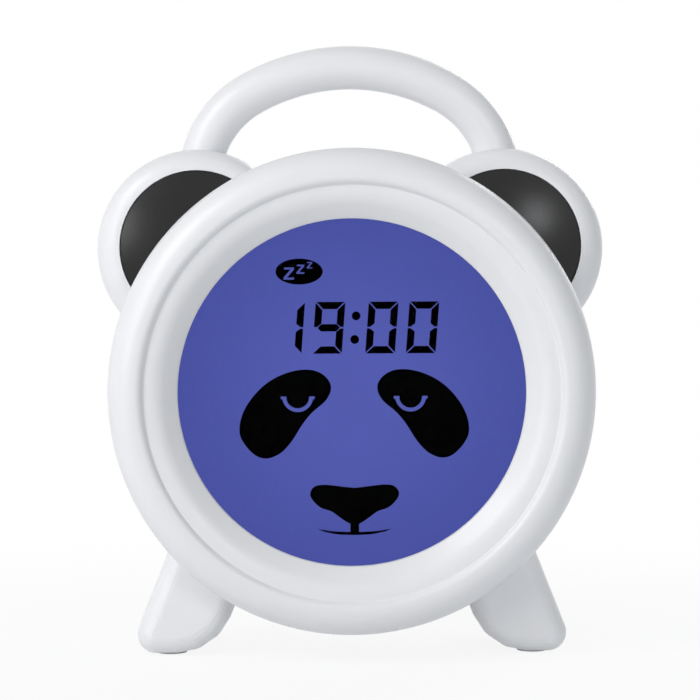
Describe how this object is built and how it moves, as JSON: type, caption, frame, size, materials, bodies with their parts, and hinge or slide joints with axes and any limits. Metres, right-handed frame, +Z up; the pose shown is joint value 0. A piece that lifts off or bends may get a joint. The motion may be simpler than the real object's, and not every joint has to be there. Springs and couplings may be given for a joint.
{
  "type": "alarm clock",
  "caption": "Round alarm clock and night light in the shape of a panda, with a lit display, ears, a carrying handle, two feet, keys, a battery bay and a speaker at the back.",
  "frame": {"origin": "on the table, under the middle of the body, where the foot pads rest", "axes": "+X to the right as seen from the front, the display faces -Y, +Z up"},
  "size_m": [0.1354, 0.062, 0.1629],
  "materials": {
    "shell_white": "satin white ABS",
    "lens_clear": "clear acrylic",
    "foam_grey": "soft foam",
    "display_glass": "polished",
    "display_black": "printed film",
    "glow_opal": "opal, lit violet-blue from behind",
    "white_plastic": "matte white",
    "board_green": "solder mask",
    "board_white": "white solder mask",
    "led_amber": "small white packages",
    "chip_black": "moulded epoxy",
    "screw_steel": "zinc plated",
    "ear_black": "polished black",
    "pad_rubber": "soft grey",
    "ribbon_amber": "flexible film",
    "wire_sheath": "red and black sheaths",
    "key_grey": "satin grey",
    "ivory_plastic": "natural nylon",
    "socket_steel": "plated shell",
    "speaker_steel": "plated basket",
    "cone_paper": "pressed paper",
    "magnet_dark": "plain",
    "dust_cloth": "thin felt",
    "cell_wrap": "printed steel can",
    "spring_steel": "nickel plated",
    "brass_nut": "turned"
  },
  "bodies": {
    "clock": {"front_ring": "shell_white", "lens": "lens_clear", "lens_gasket": "foam_grey", "lcd_front_glass": "display_glass", "lcd_segments": "display_black", "lcd_rear_glass": "display_glass", "diffuser": "glow_opal", "light_box": "white_plastic", "light_board": "board_white", "night_light_leds": "led_amber", "light_box_screws": "screw_steel", "front_housing": "shell_white", "ring_screws": "screw_steel", "rear_housing": "shell_white", "housing_screws": "screw_steel", "handle_front": "shell_white", "handle_rear": "shell_white", "left_ear_inlay": "ear_black", "right_ear_inlay": "ear_black", "left_foot": "shell_white", "right_foot": "shell_white", "foot_screws": "screw_steel", "foot_pads": "pad_rubber", "main_board": "board_green", "main_board_parts": "chip_black", "main_board_screws": "screw_steel", "lcd_ribbon": "ribbon_amber", "light_leads": "wire_sheath", "key_board": "board_green", "key_board_screws": "screw_steel", "key_ribbon": "ribbon_amber", "tact_switches": "chip_black", "lock_switch": "socket_steel", "usb_socket": "socket_steel", "speaker_frame": "speaker_steel", "speaker_cone": "cone_paper", "speaker_magnet": "magnet_dark", "speaker_dust_cloth": "dust_cloth", "speaker_clamp": "ivory_plastic", "speaker_screws": "screw_steel", "speaker_leads": "wire_sheath", "batteries": "cell_wrap", "contact_springs": "spring_steel", "contact_plates": "spring_steel", "battery_leads": "wire_sheath", "door_nut": "brass_nut"},
    "light_button": {"light_key": "key_grey", "light_plunger": "ivory_plastic"},
    "plus_button": {"plus_key": "key_grey", "plus_plunger": "ivory_plastic"},
    "minus_button": {"minus_key": "key_grey", "minus_plunger": "ivory_plastic"},
    "alarm_button": {"alarm_key": "key_grey", "alarm_plunger": "ivory_plastic"},
    "clock_button": {"clock_key": "key_grey", "clock_plunger": "ivory_plastic"},
    "lock_slider": {"lock_knob": "key_grey"},
    "door": {"battery_door": "shell_white"},
    "door_screw": {"battery_door_screw": "screw_steel"}
  },
  "joints": [
    {"name": "light_key_press", "type": "slide", "parent": "clock", "child": "light_button", "axis": [0, -1, 0], "range_m": [0, 0.0008], "stiffness_N_per_m": 600},
    {"name": "plus_key_press", "type": "slide", "parent": "clock", "child": "plus_button", "axis": [0, -1, 0], "range_m": [0, 0.0008], "stiffness_N_per_m": 600},
    {"name": "minus_key_press", "type": "slide", "parent": "clock", "child": "minus_button", "axis": [0, -1, 0], "range_m": [0, 0.0008], "stiffness_N_per_m": 600},
    {"name": "alarm_key_press", "type": "slide", "parent": "clock", "child": "alarm_button", "axis": [0, -1, 0], "range_m": [0, 0.0008], "stiffness_N_per_m": 600},
    {"name": "clock_key_press", "type": "slide", "parent": "clock", "child": "clock_button", "axis": [0, -1, 0], "range_m": [0, 0.0008], "stiffness_N_per_m": 600},
    {"name": "lock_slide", "type": "slide", "parent": "clock", "child": "lock_slider", "axis": [1, 0, 0], "range_m": [0, 0.003]},
    {"name": "battery_door_hinge", "type": "hinge", "parent": "clock", "child": "door", "pos_m": [0, 0.0295, 0.0335], "axis": [-1, 0, 0], "range_deg": [0, 90]},
    {"name": "door_screw_turn", "type": "hinge", "parent": "door", "child": "door_screw", "pos_m": [0, 0.0284, 0.0837], "axis": [0, -1, 0], "continuous": true}
  ]
}
